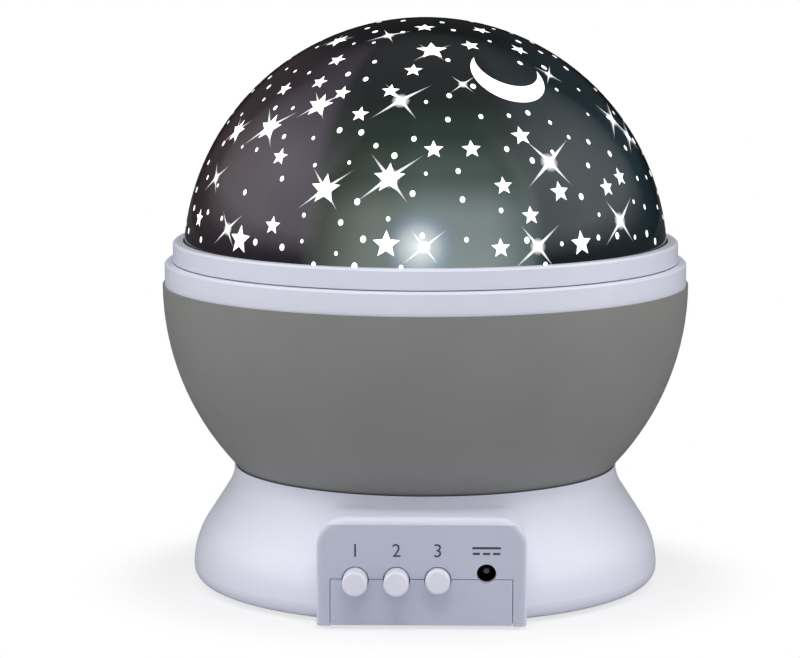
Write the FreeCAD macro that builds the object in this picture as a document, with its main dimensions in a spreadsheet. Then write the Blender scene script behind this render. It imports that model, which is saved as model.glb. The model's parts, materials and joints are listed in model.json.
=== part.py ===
import FreeCAD, Part
import Sketcher
import math
import os
import re

# Star night light projector: a white flared base, a grey ball that turns on a fixed spindle,
# and a black dome with clear star windows that lifts off the ball after a short twist.
# Frame: origin under the middle of the base on the feet, +Z up, the control panel faces -Y.

V = FreeCAD.Vector
doc = FreeCAD.newDocument("star_projector")

# Driving dimensions, millimetres and degrees
SIZES = {
    "wall": 2.0,
    "run_gap": 0.4,
    "seat_gap": 0.1,
    "shaft_gap": 0.05,
    "ball_radius": 62.6,
    "ball_floor": 24.0,
    "dome_inset": 5.0,
    "dome_wall": 1.5,
    "seat_rise": 1.2,
    "bezel_inset": 0.5,
    "bezel_height": 5.4,
    "collar_inset": 2.0,
    "collar_height": 4.9,
    "collar_gap": 0.2,
    "edge_cut": 0.5,
    "base_bottom": 0.8,
    "belly_radius": 55.6,
    "belly_height": 4.3,
    "belly_arc": 20.5,
    "flare_angle": 31.4,
    "neck_arc": 9.57,
    "deck_top": 20.0,
    "lip_width": 0.3,
    "lip_drop": 0.135,
    "neck_height": 28.5,
    "neck_inset": 9.9,
    "rim_inset": 2.6,
    "panel_proud": 0.4,
    "spindle_drop": 2.0,
    "head_rise": 4.0,
    "foot_margin": 2.97,
    "foot_angle": 38.0,
    "post_margin": 2.19,
    "post_angle": 52.1,
    "hub_radius": 9.5,
    "hub_top": 22.0,
    "panel_half": 23.7,
    "panel_height": 25.7,
    "panel_rise": 1.1,
    "panel_depth": 20.0,
    "panel_corner": 6.6,
    "tab_half": 20.5,
    "tab_top": 11.5,
    "tab_gap": 0.15,
    "plate_bottom": 1.0,
    "plate_thick": 2.0,
    "foot_radius": 4.5,
    "foot_height": 1.6,
    "post_radius": 3.2,
    "screw_radius": 1.3,
    "screw_head": 2.6,
    "screw_length": 12.0,
    "cell_radius": 5.25,
    "cell_length": 44.5,
    "cell_pitch": 10.9,
    "cell_low": 3.4,
    "bay_middle": -5.6,
    "bay_end": 1.6,
    "cell_tip": 1.0,
    "contact_thick": 0.5,
    "bay_wall": 1.2,
    "door_thick": 1.4,
    "door_gap": 0.4,
    "door_lug_half": 7.0,
    "door_lug": 8.0,
    "door_boss_height": 2.6,
    "door_screw_radius": 0.9,
    "button_radius": 2.85,
    "button_gap": 0.2,
    "button_height": 11.4,
    "button_first": -14.9,
    "button_pitch": 9.3,
    "button_proud": 5.0,
    "button_round": 0.7,
    "latched_proud": 2.6,
    "button_length": 9.5,
    "plunger_half": 1.1,
    "plunger_length": 6.0,
    "plunger_reach": 2.5,
    "switch_half": 4.0,
    "switch_length": 10.0,
    "switch_front": 43.0,
    "board_top": 7.4,
    "board_thick": 1.6,
    "board_half": 20.0,
    "board_back": 31.0,
    "board_front": 50.5,
    "chip_size": 5.0,
    "chip_thick": 1.6,
    "jack_x": 14.65,
    "jack_height": 12.9,
    "jack_bore": 2.2,
    "jack_half": 4.4,
    "jack_length": 12.0,
    "jack_depth": 9.0,
    "pin_radius": 0.65,
    "pin_length": 7.5,
    "gear_module": 0.8,
    "ring_teeth": 60.0,
    "pinion_teeth": 12.0,
    "gear_thick": 2.6,
    "backlash": 0.3,
    "ring_inner": 13.0,
    "gear_screw_circle": 17.5,
    "gear_screw_radius": 1.0,
    "gear_screw_head": 2.0,
    "boss_radius": 2.8,
    "boss_height": 7.0,
    "motor_shaft_radius": 1.5,
    "gear_case_radius": 10.8,
    "gear_case_height": 6.3,
    "motor_radius": 7.5,
    "ear_reach": 15.0,
    "ear_radius": 3.2,
    "ear_thick": 1.8,
    "motor_boss": 0.3,
    "spindle_radius": 6.0,
    "spindle_bore": 4.0,
    "spindle_flange": 8.0,
    "washer_thick": 0.6,
    "bush_radius": 8.5,
    "bush_flange": 11.0,
    "bush_top": 31.0,
    "clip_thick": 1.0,
    "clip_depth": 0.8,
    "clip_radius": 8.0,
    "head_radius": 9.5,
    "led_radius": 2.5,
    "led_height": 4.6,
    "small_led_radius": 1.5,
    "small_led_circle": 6.2,
    "ledge_drop": 4.0,
    "ledge_width": 2.5,
    "inner_deck_thick": 1.5,
    "skirt_wall": 1.8,
    "skirt_rise": 1.3,
    "lug_reach": 2.0,
    "lug_thick": 1.4,
    "lug_angle": 18.0,
    "lug_gap": 0.3,
    "ledge_angle": 24.0,
    "lug_count": 3.0,
    "star_size": 2.3,
    "moon_size": 9.0,
    "panel_edge": 1.5,
    "pivot_radius": 0.5,
    "pivot_reach": 0.8,
}

sheet = doc.addObject("Spreadsheet::Sheet", "sizes")
for row, (alias, value) in enumerate(SIZES.items(), start=1):
    sheet.set("A%d" % row, alias)
    sheet.set("B%d" % row, str(value))
    sheet.setAlias("B%d" % row, alias)
doc.recompute()

# Sizes that follow from the driving ones
DERIVED = {
    "deck_under": "(deck_top - wall)",
    "rim_radius": "(belly_radius - rim_inset)",
    "neck_radius": "(belly_radius - neck_inset)",
    "panel_front": "(belly_radius + panel_proud)",
    "foot_x": "((rim_radius - wall - foot_radius - foot_margin) * cos(foot_angle))",
    "foot_y": "((rim_radius - wall - foot_radius - foot_margin) * sin(foot_angle))",
    "post_x": "((rim_radius - wall - post_radius - post_margin) * cos(post_angle))",
    "post_y": "((rim_radius - wall - post_radius - post_margin) * sin(post_angle))",
    "ball_centre": "(neck_height + lip_drop + sqrt((ball_radius + run_gap) * (ball_radius + run_gap)"
                   " - neck_radius * neck_radius))",
    "spindle_top": "(ball_centre - spindle_drop)",
    "head_top": "(ball_centre + head_rise)",
    "ledge_height": "(ball_centre - ledge_drop)",
    "bezel_radius": "(ball_radius - bezel_inset)",
    "bezel_top": "(ball_centre + bezel_height)",
    "collar_radius": "(ball_radius - bezel_inset - collar_inset)",
    "collar_top": "(ball_centre + bezel_height + collar_height)",
    "dome_radius": "(ball_radius - dome_inset)",
    "dome_centre": "(ball_centre + bezel_height)",
    "dome_seat": "(ball_centre + bezel_height + seat_rise)",
    "skirt_radius": "(ball_radius - dome_inset + seat_gap)",
    "skirt_bottom": "(ball_centre + skirt_rise)",
}

FUNCTIONS = ("sqrt", "sin", "cos", "tan")


def linked(formula):
    """Point every size named in a formula at the sheet."""
    def name(match):
        word = match.group(0)
        if word in DERIVED:
            return linked(DERIVED[word])
        return word if word in FUNCTIONS else "sizes." + word
    return re.sub(r"[a-z][a-z_]+", name, formula)


def value(formula):
    """The number that a formula of sizes gives now."""
    result = doc.getObject("sizes").evalExpression(linked(formula))
    return float(getattr(result, "Value", result))


def bind(item, **formulas):
    """Tie properties of an object to formulas of sizes."""
    for prop, formula in formulas.items():
        item.setExpression(prop.replace("__", "."), linked(formula))
    return item


def new_body(label):
    body = doc.addObject("PartDesign::Body", label)
    body.Label = label
    return body


def origin_plane(body, role):
    return [item for item in body.Origin.OriginFeatures if item.Role == role][0]


def new_sketch(body, name, role, height=None):
    """A sketch on one of the body's own planes, lifted off it by a formula."""
    sketch = body.newObject("Sketcher::SketchObject", name)
    sketch.AttachmentSupport = [(origin_plane(body, role), "")]
    sketch.MapMode = "FlatFace"
    if height:
        bind(sketch, AttachmentOffset__Base__z=height)
    return sketch


def place_point(sketch, geo, end, x, y):
    """Hold a point of a sketch at two formulas, of which either may be left free."""
    for kind, formula in (("DistanceX", x), ("DistanceY", y)):
        if formula is None:
            continue
        amount = value(formula)
        if formula == "0":
            axis = -2 if kind == "DistanceX" else -1
            sketch.addConstraint(Sketcher.Constraint("PointOnObject", geo, end, axis))
            continue
        index = sketch.addConstraint(Sketcher.Constraint(kind, -1, 1, geo, end, amount))
        sketch.setExpression("Constraints[%d]" % index, linked(formula))


def outline(sketch, corners):
    """Draw a closed outline. A corner is (x, y), or (x, y, centre x, centre y, turn) where an arc
    leads on to the next corner, one of whose two sizes is then left to the arc."""
    spots = [[value(corner[0]), value(corner[1])] for corner in corners]
    free = [""] * len(corners)
    for index, corner in enumerate(corners):
        if len(corner) > 2:
            after = (index + 1) % len(corners)
            across = abs(spots[after][0] - value(corner[2]))
            upward = abs(spots[after][1] - value(corner[3]))
            free[after] = "y" if upward > across else "x"
    for index, corner in enumerate(corners):
        start = V(spots[index][0], spots[index][1], 0)
        following = spots[(index + 1) % len(corners)]
        finish = V(following[0], following[1], 0)
        if len(corner) == 2:
            sketch.addGeometry(Part.LineSegment(start, finish))
            continue
        centre = V(value(corner[2]), value(corner[3]), 0)
        reach = start.sub(centre)
        first = math.atan2(reach.y, reach.x)
        last = math.atan2(finish.y - centre.y, finish.x - centre.x)
        circle = Part.Circle(centre, V(0, 0, 1), reach.Length)
        if corner[4] == "left":
            sketch.addGeometry(Part.ArcOfCircle(circle, first, last))
        else:
            sketch.addGeometry(Part.ArcOfCircle(circle, last, first))
    for index, corner in enumerate(corners):
        after = (index + 1) % len(corners)
        end = 1 if (len(corner) > 2 and corner[4] == "right") else 2
        begin = 2 if (len(corners[after]) > 2 and corners[after][4] == "right") else 1
        sketch.addConstraint(Sketcher.Constraint("Coincident", index, end, after, begin))
    for index, corner in enumerate(corners):
        begin = 2 if (len(corner) > 2 and corner[4] == "right") else 1
        place_point(sketch, index, begin, None if free[index] == "x" else corner[0],
                    None if free[index] == "y" else corner[1])
        if len(corner) > 2:
            place_point(sketch, index, 3, corner[2], corner[3])


def rectangle(sketch, left, right, low, high):
    outline(sketch, [(left, low), (right, low), (right, high), (left, high)])


def circles(sketch, places, radius):
    """Circles of one radius at a list of (x, y) formulas."""
    for x, y in places:
        spot = V(value(x), value(y), 0)
        geo = sketch.addGeometry(Part.Circle(spot, V(0, 0, 1), value(radius)))
        index = sketch.addConstraint(Sketcher.Constraint("Radius", geo, value(radius)))
        sketch.setExpression("Constraints[%d]" % index, linked(radius))
        place_point(sketch, geo, 3, x, y)


def turned(body, name, corners, groove=False):
    """A profile of (radius, height) corners turned about the upright axis."""
    sketch = new_sketch(body, name + "_profile", "XZ_Plane")
    outline(sketch, corners)
    kind = "PartDesign::Groove" if groove else "PartDesign::Revolution"
    feature = body.newObject(kind, name)
    feature.Profile = sketch
    feature.ReferenceAxis = (sketch, ["V_Axis"])
    feature.Angle = 360.0
    return feature


def padded(body, name, draw, low, height, role="XY_Plane", reverse=False):
    """A drawn outline thickened from one formula height by another."""
    sketch = new_sketch(body, name + "_outline", role, low)
    draw(sketch)
    feature = body.newObject("PartDesign::Pad", name)
    feature.Profile = sketch
    feature.Reversed = reverse
    bind(feature, Length=height)
    return feature


def pocketed(body, name, draw, low, depth, role="XY_Plane"):
    """A drawn outline cut away, along the plane's own direction from a formula height."""
    sketch = new_sketch(body, name + "_outline", role, low)
    draw(sketch)
    feature = body.newObject("PartDesign::Pocket", name)
    feature.Profile = sketch
    feature.Reversed = True
    bind(feature, Length=depth)
    return feature


def cylinder(label, radius, low, height, x="0", y="0"):
    item = doc.addObject("Part::Cylinder", label)
    item.Label = label
    return bind(item, Radius=radius, Height=height, Placement__Base__x=x,
                Placement__Base__y=y, Placement__Base__z=low)


def block(label, x, y, low, wide, deep, tall):
    item = doc.addObject("Part::Box", label)
    item.Label = label
    return bind(item, Length=wide, Width=deep, Height=tall, Placement__Base__x=x,
                Placement__Base__y=y, Placement__Base__z=low)


def joined(label, items):
    item = doc.addObject("Part::MultiFuse", label)
    item.Label = label
    item.Shapes = items
    return item


def without(label, base, tools):
    item = doc.addObject("Part::Cut", label)
    item.Label = label
    item.Base = base
    item.Tool = tools[0] if len(tools) == 1 else joined(label + "_cuts", tools)
    return item


def grouped(label, items):
    item = doc.addObject("Part::Compound", label)
    item.Label = label
    item.Links = items
    return item


def shaped(label, shape):
    item = doc.addObject("Part::Feature", label)
    item.Label = label
    item.Shape = shape
    item.Placement = FreeCAD.Placement()
    return item


def mirrored_places(x, y):
    return [(x, y), ("-(%s)" % x, y), (x, "-(%s)" % y), ("-(%s)" % x, "-(%s)" % y)]


POSTS = mirrored_places("post_x", "post_y")
FEET = mirrored_places("foot_x", "foot_y")
BUTTONS = ["button_first + %d * button_pitch" % index for index in range(3)]
GEAR_SPACING = "gear_module * (ring_teeth + pinion_teeth) / 2"
PLATE_TOP = "plate_bottom + plate_thick"
BAY_HALF_LENGTH = "cell_length / 2 + bay_end"
BAY_HALF_WIDTH = "cell_pitch * 2 + 0.3"
EAR_PLACES = [("ear_reach", GEAR_SPACING), ("-(ear_reach)", GEAR_SPACING)]
HOLE_RADIUS = "button_radius + button_gap"
BAY_FRONT = "(bay_middle - (%s))" % BAY_HALF_WIDTH
BAY_BACK = "(bay_middle + (%s))" % BAY_HALF_WIDTH
DOOR_SCREW_Y = "(%s - bay_wall - door_lug / 2)" % BAY_FRONT
DOOR_PIVOT_Y = "(%s - door_gap - door_thick / 2)" % BAY_BACK


# Base: the flared shell with its deck, hub, neck and control housing
def base_shell():
    body = new_body("base_shell")
    inset = "(belly_radius - rim_radius)"
    drop = "(belly_height - base_bottom)"
    rim_arc = "((%s * %s + %s * %s) / (2 * %s))" % (inset, inset, drop, drop, inset)
    waist = "ball_radius + run_gap"
    lip = "neck_radius - lip_width"
    well = "(neck_radius - wall)"
    turned(body, "flare", [
        ("0", "base_bottom"),
        ("rim_radius", "base_bottom", "belly_radius - %s" % rim_arc, "belly_height", "left"),
        ("belly_radius", "belly_height", "belly_radius - belly_arc", "belly_height", "left"),
        ("belly_radius - belly_arc * (1 - cos(flare_angle))", "belly_height + belly_arc * sin(flare_angle)"),
        ("neck_radius + neck_arc * (1 - cos(flare_angle))", "neck_height - neck_arc * sin(flare_angle)",
         "neck_radius + neck_arc", "neck_height", "right"),
        ("neck_radius", "neck_height"),
        ("0", "neck_height"),
    ])

    def housing_face(sketch):
        corner = "(panel_half - panel_corner)"
        outline(sketch, [
            ("-(panel_half)", "base_bottom"),
            ("panel_half", "base_bottom"),
            ("panel_half", "panel_height - panel_corner", corner, "panel_height - panel_corner", "left"),
            (corner, "panel_height"),
            ("-%s" % corner, "panel_height", "-%s" % corner, "panel_height - panel_corner", "left"),
            ("-(panel_half)", "panel_height - panel_corner"),
        ])
    housing = padded(body, "housing", housing_face, "panel_front", "panel_depth", "XZ_Plane", True)
    doc.recompute()
    front = -value("panel_front")
    edges = []
    for number, edge in enumerate(housing.Shape.Edges, start=1):
        box = edge.BoundBox
        if abs(box.YMin - front) < 1e-6 and abs(box.YMax - front) < 1e-6 and box.ZMax > value("belly_height"):
            edges.append("Edge%d" % number)
    rounding = body.newObject("PartDesign::Fillet", "housing_edges")
    rounding.Base = (housing, edges)
    bind(rounding, Radius="panel_edge")
    inner = "(belly_radius - wall)"
    turned(body, "cavity", [
        ("0", "base_bottom"),
        ("rim_radius - wall", "base_bottom"),
        (inner, "belly_height"),
        (inner, "belly_height + wall * 2"),
        ("belly_radius - belly_arc * (1 - cos(flare_angle)) - wall * 1.2",
         "belly_height + belly_arc * sin(flare_angle)"),
        ("neck_radius + wall * 1.5", "deck_under"),
        ("0", "deck_under"),
    ], True)
    turned(body, "well", [
        ("0", "hub_top"),
        ("hub_radius", "hub_top"),
        ("hub_radius", "deck_top"),
        (well, "deck_top"),
        (well, "ball_centre - sqrt((%s) * (%s) - %s * %s)" % (waist, waist, well, well)),
        (lip, "ball_centre - sqrt((%s) * (%s) - (%s) * (%s))" % (waist, waist, lip, lip)),
        (lip, "neck_height + wall"),
        ("0", "neck_height + wall"),
    ], True)
    pocketed(body, "spindle_hole", lambda sketch: circles(sketch, [("0", "0")], "spindle_radius"),
             "deck_under - wall", "hub_top - deck_under + wall * 2")
    side = "(panel_half - wall)"
    pocketed(body, "housing_room",
             lambda sketch: rectangle(sketch, "-%s" % side, side, "-(panel_front - wall)",
                                      "-(panel_front - panel_depth)"),
             "0", "deck_under")
    pocketed(body, "housing_loft",
             lambda sketch: rectangle(sketch, "-(%s - panel_corner / 2)" % side, "%s - panel_corner / 2" % side,
                                      "-(panel_front - wall)", "-(panel_front - wall * 2)"),
             "deck_under - wall", "panel_height - deck_under")
    half = "(tab_half + tab_gap)"
    pocketed(body, "tab_opening",
             lambda sketch: rectangle(sketch, "-%s" % half, half, "0", "tab_top + tab_gap"),
             "panel_front - wall * 1.5", "wall * 2", "XZ_Plane")
    pocketed(body, "button_holes",
             lambda sketch: circles(sketch, [(x, "button_height") for x in BUTTONS], HOLE_RADIUS),
             "panel_front - wall * 1.5", "wall * 2", "XZ_Plane")
    pocketed(body, "jack_hole", lambda sketch: circles(sketch, [("jack_x", "jack_height")], "jack_bore"),
             "panel_front - wall * 1.5", "wall * 2", "XZ_Plane")
    post_low = "(plate_bottom + plate_thick)"
    padded(body, "posts", lambda sketch: circles(sketch, POSTS, "post_radius"), post_low,
           "deck_under - %s" % post_low)
    pocketed(body, "post_holes", lambda sketch: circles(sketch, POSTS, "screw_radius"), "0",
             "screw_length + plate_bottom + wall")
    pocketed(body, "deck_holes", lambda sketch: circles(sketch, EAR_PLACES, "screw_radius"),
             "deck_under - wall", "wall * 3")
    pocketed(body, "shaft_hole",
             lambda sketch: circles(sketch, [("0", GEAR_SPACING)], "motor_shaft_radius + run_gap"),
             "deck_under - wall", "wall * 3")
    return body


# Bottom cover with its battery bay, its foot recesses and the tab that closes the panel
def bottom_plate():
    body = new_body("bottom_plate")
    edge = "(rim_radius - wall - tab_gap)"
    padded(body, "disc", lambda sketch: circles(sketch, [("0", "0")], edge), "plate_bottom", "plate_thick")
    side = "(panel_half - wall - tab_gap)"
    padded(body, "apron",
           lambda sketch: rectangle(sketch, "-%s" % side, side, "-(panel_front - wall - tab_gap)",
                                    "-(panel_front - panel_depth)"), "plate_bottom", "plate_thick")
    padded(body, "tab",
           lambda sketch: rectangle(sketch, "-(tab_half)", "tab_half", "plate_bottom", "tab_top"),
           "panel_front", "wall + tab_gap * 2", "XZ_Plane", True)
    roof = "(cell_low + cell_radius * 2 + seat_gap)"
    outer_x = "(%s + bay_wall)" % BAY_HALF_LENGTH
    outer_y = "(%s + bay_wall)" % BAY_HALF_WIDTH
    padded(body, "bay", lambda sketch: rectangle(sketch, "-%s" % outer_x, outer_x, "bay_middle - %s" % outer_y,
                                                 "bay_middle + %s" % outer_y),
           PLATE_TOP, "%s + bay_wall - (%s)" % (roof, PLATE_TOP))
    pocketed(body, "bay_room",
             lambda sketch: rectangle(sketch, "-(%s)" % BAY_HALF_LENGTH, BAY_HALF_LENGTH,
                                      "bay_middle - (%s)" % BAY_HALF_WIDTH, "bay_middle + (%s)" % BAY_HALF_WIDTH),
             "0", roof)
    pocketed(body, "half_holes", lambda sketch: circles(sketch, [(x, "button_height") for x in BUTTONS],
                                                        HOLE_RADIUS),
             "panel_front - wall * 2", "wall * 3", "XZ_Plane")
    pocketed(body, "jack_notch", lambda sketch: circles(sketch, [("jack_x", "jack_height")], "jack_bore"),
             "panel_front - wall * 2", "wall * 3", "XZ_Plane")
    pocketed(body, "foot_recesses", lambda sketch: circles(sketch, FEET, "foot_radius"), "0", "foot_height")
    pocketed(body, "screw_ways", lambda sketch: circles(sketch, POSTS, "screw_radius"), "0", "wall * 3")
    pocketed(body, "screw_seats", lambda sketch: circles(sketch, POSTS, "screw_head"), "0",
             "plate_bottom + plate_thick / 2")
    lug_side = "(door_lug_half + door_gap)"
    pocketed(body, "lug_recess",
             lambda sketch: rectangle(sketch, "-%s" % lug_side, lug_side,
                                      "%s - bay_wall - door_lug - door_gap" % BAY_FRONT, BAY_FRONT),
             "0", "plate_bottom + door_thick + seat_gap")
    padded(body, "door_boss", lambda sketch: circles(sketch, [("0", DOOR_SCREW_Y)], "post_radius"),
           PLATE_TOP, "door_boss_height")
    sockets = new_sketch(body, "pivot_sockets_outline", "YZ_Plane",
                         "-(%s) - pivot_reach - seat_gap" % BAY_HALF_LENGTH)
    circles(sockets, [(DOOR_PIVOT_Y, "plate_bottom + door_thick / 2")], "pivot_radius + shaft_gap")
    bore = body.newObject("PartDesign::Pocket", "pivot_sockets")
    bore.Profile = sockets
    bore.Reversed = True
    bind(bore, Length="(%s + pivot_reach + seat_gap) * 2" % BAY_HALF_LENGTH)
    pocketed(body, "door_screw_way",
             lambda sketch: circles(sketch, [("0", DOOR_SCREW_Y)], "screw_radius"),
             "0", "%s + door_boss_height + wall" % PLATE_TOP)
    return body


def screws(label, places, head_low, head_radius, radius, length, head_thick="wall / 2"):
    """Pan heads below with their shanks pointing up, one solid each."""
    pieces = []
    for index, (x, y) in enumerate(places):
        head = cylinder("%s_head_%d" % (label, index), head_radius, head_low, head_thick, x, y)
        shank = cylinder("%s_shank_%d" % (label, index), radius, head_low, length, x, y)
        pieces.append(joined("%s_%d" % (label, index), [head, shank]))
    return grouped(label, pieces)


def rubber_feet():
    return grouped("rubber_feet", [cylinder("foot_%d" % index, "foot_radius", "0", "foot_height", x, y)
                                   for index, (x, y) in enumerate(FEET)])


def across_door(label, radius, reach):
    """A round bar along the door's hinge line, evenly to both sides."""
    item = doc.addObject("Part::Cylinder", label)
    item.Placement = FreeCAD.Placement(V(0, 0, 0), FreeCAD.Rotation(V(0, 1, 0), 90))
    return bind(item, Radius=radius, Height="(%s) * 2" % reach, Placement__Base__x="-(%s)" % reach,
                Placement__Base__y=DOOR_PIVOT_Y, Placement__Base__z="plate_bottom + door_thick / 2")


# Battery door: a flat lid under the bay with a round hinge edge and pins at the back and, at the
# front, a lug with its screw
def battery_door():
    half_x = "(%s - door_gap)" % BAY_HALF_LENGTH
    lid_front = "(%s + door_gap)" % BAY_FRONT
    lid = block("door_lid", "-%s" % half_x, lid_front, "plate_bottom", "%s * 2" % half_x,
                "%s - %s" % (DOOR_PIVOT_Y, lid_front), "door_thick")
    lug = block("door_lug", "-(door_lug_half)", "%s - bay_wall - door_lug" % BAY_FRONT, "plate_bottom",
                "door_lug_half * 2", "door_lug + bay_wall + door_gap * 2", "door_thick")
    hinge_edge = across_door("door_hinge_edge", "door_thick / 2", half_x)
    pins = across_door("door_pins", "pivot_radius", "%s + pivot_reach" % BAY_HALF_LENGTH)
    way = cylinder("door_lug_way", "door_screw_radius", "0", "wall * 3", "0", DOOR_SCREW_Y)
    seat = cylinder("door_lug_seat", "screw_head", "0", "plate_bottom + door_thick / 2", "0", DOOR_SCREW_Y)
    without("battery_door", joined("door_panel", [lid, lug, hinge_edge, pins]), [way, seat])
    screws("door_screw", [("0", DOOR_SCREW_Y)], "plate_bottom", "screw_head", "door_screw_radius",
           "door_thick + door_boss_height", "door_thick / 2")


def battery_cells():
    cells = []
    for index in range(4):
        y = "bay_middle + (%d - 1.5) * cell_pitch" % index
        can = doc.addObject("Part::Cylinder", "cell_can_%d" % index)
        tip = doc.addObject("Part::Cylinder", "cell_tip_%d" % index)
        turn = FreeCAD.Rotation(V(0, 1, 0), 90 if index % 2 else -90)
        for item, radius, reach in ((can, "cell_radius", "cell_length"),
                                    (tip, "cell_radius / 3", "cell_length + cell_tip")):
            item.Placement = FreeCAD.Placement(V(0, 0, 0), turn)
            side = "-" if index % 2 else ""
            bind(item, Radius=radius, Height=reach, Placement__Base__y=y,
                 Placement__Base__x="%s(cell_length / 2)" % side,
                 Placement__Base__z="cell_low + cell_radius")
        cells.append(joined("cell_%d" % index, [can, tip]))
    return grouped("battery_cells", cells)


def battery_contacts():
    plates = []
    for side in (-1, 1):
        for index in range(2):
            y = "bay_middle + (%d * 2 - 1) * cell_pitch - cell_pitch * 0.9" % index
            x = "%d * (%s) - %s" % (side, BAY_HALF_LENGTH, "contact_thick" if side > 0 else "0")
            plates.append(block("contact_%d_%d" % (side + 1, index), x, y, "cell_low + contact_thick",
                                "contact_thick", "cell_pitch * 1.8", "cell_radius * 1.6"))
    for index in range(4):
        side = "" if index % 2 == 0 else "-"
        spring = doc.addObject("Part::Cone", "contact_spring_%d" % index)
        spring.Placement = FreeCAD.Placement(V(0, 0, 0), FreeCAD.Rotation(V(0, 1, 0), -90 if side == "" else 90))
        bind(spring, Radius1="cell_radius * 0.6", Radius2="cell_radius * 0.4",
             Height="bay_end - contact_thick - seat_gap",
             Placement__Base__x="%s(%s - contact_thick)" % (side, BAY_HALF_LENGTH),
             Placement__Base__y="bay_middle + (%d - 1.5) * cell_pitch" % index,
             Placement__Base__z="cell_low + cell_radius")
        plates.append(spring)
    return grouped("battery_contacts", plates)


# Control board with its three latching switches, its chip and the power socket
def control_board():
    return block("control_board", "-(board_half)", "-(board_front)", "board_top - board_thick",
                 "board_half * 2", "board_front - board_back", "board_thick")


def push_switches():
    cases = []
    for index, x in enumerate(BUTTONS):
        case = block("switch_case_%d" % index, "%s - switch_half" % x, "-(switch_front)", "board_top",
                     "switch_half * 2", "switch_length", "switch_half * 2")
        slot = block("switch_slot_%d" % index, "%s - plunger_half - seat_gap" % x, "-(switch_front)",
                     "button_height - plunger_half - seat_gap", "(plunger_half + seat_gap) * 2",
                     "plunger_length", "(plunger_half + seat_gap) * 2")
        cases.append(without("switch_%d" % index, case, [slot]))
    return grouped("push_switches", cases)


def along_panel(label, radius, front, length, x, height):
    """A round bar whose axis runs back from the panel."""
    item = doc.addObject("Part::Cylinder", label)
    item.Label = label
    item.Placement = FreeCAD.Placement(V(0, 0, 0), FreeCAD.Rotation(V(1, 0, 0), -90))
    return bind(item, Radius=radius, Height=length, Placement__Base__x=x,
                Placement__Base__y="-(%s)" % front, Placement__Base__z=height)


def push_button(index):
    """A cap with a rounded rim on the front and a square socket at the back for its plunger."""
    x = BUTTONS[index]
    proud = "latched_proud" if index == 2 else "button_proud"
    front = "panel_front + %s" % proud
    label = "button_%d" % (index + 1)
    bar = along_panel(label + "_bar", "button_radius", front, "button_length", x, "button_height")
    rim = doc.addObject("Part::Fillet", label + "_cap")
    rim.Base = bar
    doc.recompute()
    edge = [number for number, item in enumerate(bar.Shape.Edges, start=1)
            if item.Closed and item.CenterOfMass.y < -value(front) + value("edge_cut")][0]
    rim.Edges = [(edge, value("button_round"), value("button_round"))]
    back = "(%s - button_length)" % front
    socket = block(label + "_socket", "%s - plunger_half" % x, "-(%s) - wall" % back,
                   "button_height - plunger_half", "plunger_half * 2", "wall", "plunger_half * 2")
    without(label, rim, [socket])
    block("plunger_%d" % (index + 1), "%s - plunger_half" % x, "-(%s) - wall" % back,
          "button_height - plunger_half", "plunger_half * 2",
          "panel_front + button_proud + wall + plunger_reach - button_length - switch_front",
          "plunger_half * 2")


def dc_jack():
    case = block("jack_case", "jack_x - jack_half", "-(panel_front - wall - tab_gap * 2 - seat_gap)", "board_top",
                 "jack_half * 2", "jack_length", "jack_height - board_top + jack_half")
    bore = along_panel("jack_bore_cut", "jack_bore", "panel_front", "jack_depth + wall", "jack_x", "jack_height")
    without("dc_jack", case, [bore])
    along_panel("dc_jack_pin", "pin_radius", "panel_front - wall - jack_depth + pin_length",
                "pin_length", "jack_x", "jack_height")


def control_chip():
    return block("control_chip", "jack_x - jack_half", "-(board_back + chip_size * 1.4)", "board_top",
                 "chip_size", "chip_size", "chip_thick")


# Gears with involute flanks, radial below the base circle
PRESSURE_ANGLE = math.radians(20)
FLANK_STEPS = 4


# Tooth heights outside and inside the pitch circle, as shares of the module
RING_TIP = 0.8
PINION_TIP = 0.9
TOOTH_ROOT = 1.25


def tooth_half_angle(radius, pitch, teeth):
    base = pitch * math.cos(PRESSURE_ANGLE)
    lean = math.acos(min(1.0, base / max(radius, base)))
    spread = math.tan(PRESSURE_ANGLE) - PRESSURE_ANGLE - (math.tan(lean) - lean)
    return math.pi / (2 * teeth) - value("backlash") / (4 * pitch) + spread


def gear_face(teeth, first_angle, tip_share, root_share):
    """A toothed outline; tip and root are shares of the module outside and inside the pitch circle."""
    module = value("gear_module")
    pitch = module * teeth / 2
    root = pitch - root_share * module
    tip = pitch + tip_share * module
    base = max(pitch * math.cos(PRESSURE_ANGLE), root)
    radii = [root] + [base + (tip - base) * step / FLANK_STEPS for step in range(FLANK_STEPS + 1)]
    corners = []
    for tooth in range(teeth):
        middle = first_angle + 2 * math.pi * tooth / teeth
        for side, steps in ((-1, radii), (1, radii[::-1])):
            for radius in steps:
                angle = middle + side * tooth_half_angle(radius, pitch, teeth)
                corners.append(V(radius * math.cos(angle), radius * math.sin(angle), 0))
    return Part.Face(Part.makePolygon(corners + corners[:1]))


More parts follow.
